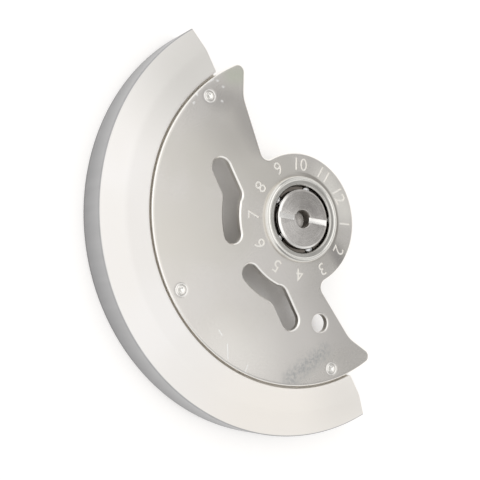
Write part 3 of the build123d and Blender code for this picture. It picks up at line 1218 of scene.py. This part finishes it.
# %% Rivets
rivet_low, rivet_high = rivet_boxes[1]
rivet_foot = (rivet_high.x - rivet_low.x) / 2
foot_height = 0.20 * mm
foot_bevel = 0.05 * mm
dimple_radius = 0.17 * mm
dimple_depth = 0.07 * mm
dimple_lip, face_drop = 0.008 * mm, 0.004 * mm
rivet_steps = 48

rivet_section = [
    (0, rivet_high.z - dimple_depth, 0),
    (dimple_radius * 0.6, rivet_high.z - dimple_depth * 0.75, small_round),
    (dimple_radius, rivet_high.z - dimple_lip),
    (rivet_radius * 0.85, rivet_high.z - face_drop),
    (rivet_radius, rivet_high.z - stamp_lip, 0),
    (rivet_radius, rivet_low.z + foot_height, 0),
    (rivet_foot, rivet_low.z + foot_height),
    (rivet_foot, rivet_low.z + foot_bevel, 0.05 * mm),
    (rivet_foot * 0.8, rivet_low.z, 0.04 * mm),
    (0, rivet_low.z, 0),
]
middle = rivet_centres[1]
rivet_turn = bearing_to(rivet_centres[2]) - bearing_to(middle)
rivets = turned_aside("rivets", softened(rivet_section, fine_round), rivet_steps, middle.xy.length)
rivets = repeated(rivets, rivet_steel, 3, -quarter - rivet_turn, rivet_turn)
finished(rivets, "rotor", "rivet_steel", rivet_steel, "weight_rivet_1", "weight_rivet_2", "weight_rivet_3")

# %% [markdown]
# The heavy rim
#
# The rim is a heavy tungsten alloy, turned as a ring and then cut straight across, so both ends lie in
# one plane. Its section has a flat top level with the plate, a shallow bevel, a tall outer wall and a
# ledge that runs under the plate. A full ring cut by a Boolean would have sharp ends, so the section is
# drawn once and carried round, each point stops where its own circle meets the plane of the ends, and
# the last loops draw in to round the ends' edges.

# %% Rim section
rim_wall = plate_radius + 0.12 * mm
flat_edge = rim_wall + 1.43 * mm
bevel_drop = 0.467 * mm
ledge_edge = rim_wall - 1.92 * mm
inner_wall = rim_radius - 2.60 * mm
groove_chamfer, groove_drop = 0.12 * mm, 0.06 * mm
rim_rounding = 0.08 * mm
end_round = 0.035 * mm
rim_stations = 200
end_stations = 4

rim_section = softened([
    (rim_wall, plate_top - groove_drop, 0.06 * mm),
    (rim_wall + groove_chamfer, plate_top, 0.06 * mm),
    (flat_edge, plate_top, 0.90 * mm),
    (rim_radius, plate_top - bevel_drop),
    (rim_radius, rim_bottom),
    (inner_wall, rim_bottom),
    (inner_wall, 0, 0.05 * mm),
    (ledge_edge, 0),
    (ledge_edge, plate_bottom),
    (rim_wall, plate_bottom, 0.04 * mm),
], rim_rounding, 4)
section_ways = away_from_metal(list(reversed(rim_section)))
section_ways.reverse()
print("rim section", len(rim_section), "points")


# %% Rim shape
def rim_loop(level, back, share):
    """The section drawn in by a step back, at a share of the way from one end to the other."""
    loop = []
    for point, way in zip(rim_section, section_ways):
        across, up = point - way * back
        start = math.asin(level / across)
        loop.append(at_angle(across, start - (math.pi + 2 * start) * share, up))
    return loop


def rim_end_loops(share):
    """The rounded edge of one end, from its flat face inwards."""
    loops = [rim_loop(rim_end, end_round * (1 + hold), share)]
    for step in range(end_stations):
        lean = quarter * step / end_stations
        level = rim_end - end_round * (1 - math.cos(lean))
        loops.append(rim_loop(level, end_round * (1 - math.sin(lean)), share))
    return loops


rim_loops = rim_end_loops(0)
rim_loops += [rim_loop(rim_end - end_round, 0, step / rim_stations) for step in range(rim_stations + 1)]
rim_loops += reversed(rim_end_loops(1))
heavy_rim = skin("heavy_rim", rim_loops, capped=True)
print("rim", len(rim_loops), "loops")

# %% [markdown]
# The rim's alloy
#
# The rim's plated top is a pale, even satin, warmer towards one end, with painted shade that greys it
# towards the other end and a little at the warm one. It hardly mirrors the room, so it has little metallic,
# which keeps it even from all sides. The outer wall is darker, with streaks from turning, and the wall in
# the groove beside the plate is duller; the darkness of both is painted shade.

# %% Rim alloy
# Painted shade greys the rim's top towards its left end and a little at its right end; the warm stroke only
# tints it.
shaded_end = [((-11.8, -1.0), (-11.0, -3.0))]
warm_end = [((8.5, -8.5), (11.5, -3.0))]
lightly_shaded_end = [((11.2, -2.4), (11.8, -1.2))]


def blasted_tungsten():
    """Plated tungsten alloy: a pale, even satin above, and turned streaks on the outer wall, with painted
    shade on the ends, the outer wall and the groove.
    """
    finish = Finish("rim_alloy")
    point, x, y, z = finish.place()
    radius = (x * x + y * y).maths("SQRT")
    angle = y.maths("ARCTAN2", x)
    clouds = finish.noise(point, 0.16, 2.0)
    grain = finish.noise(point, 42.0, 2.0)
    streaks = finish.noise(finish.join(angle * 16.0, z * 0.15, 0.0), 1.0, 2.0, 0.5)
    top = finish.coated(
        (0.95, 0.92, 0.885),
        (finish.ease(clouds, 0.35, 0.65), (0.98, 0.955, 0.93)),
        (finish.near(x, y, warm_end, 6.0) * 0.9, (0.975, 0.925, 0.86)),
        (finish.near(x, y, shaded_end, 6.5) + finish.near(x, y, lightly_shaded_end, 4.0) * 0.4, (0.72, 0.70, 0.665)),
    )
    # Painted shade: the outer wall is a darker copy of the rim, lighter towards the top and darkest at the
    # bottom, with real turning streaks.
    upper = finish.ease(z, rim_bottom / mm + 0.1, plate_top / mm - 0.2)
    shaded_side = finish.coated(
        (0.245, 0.245, 0.25),
        (upper * 0.75 + finish.ease(streaks, 0.3, 0.7) * 0.25, (0.40, 0.40, 0.405)),
        (finish.beyond(z, rim_bottom, 0.35, 0.0), (0.17, 0.17, 0.175)),
    )
    wall = finish.beyond(radius, rim_radius, -0.09, -0.03)
    # Painted shade on the groove's wall beside the plate.
    groove_shade = finish.beyond(radius, rim_wall, 0.04, 0.01) * finish.beyond(z, plate_top, -0.06, -0.14)
    groove_shade = groove_shade * finish.beyond(z, plate_bottom, -0.03, -0.01)
    return finish.surface(
        Metallic=0.15,
        Base_Color=finish.coated(top, (wall, shaded_side), (groove_shade, (0.78, 0.74, 0.68))),
        Roughness=0.50 + (grain - 0.5) * 0.08 - wall * 0.14 + (streaks - 0.5) * wall * 0.2,
        Normal=finish.relief(grain * (1 - wall * 0.6), 0.0008 * mm),
    )


finished(heavy_rim, "rotor", "rim_alloy", blasted_tungsten(), "weight_segment")
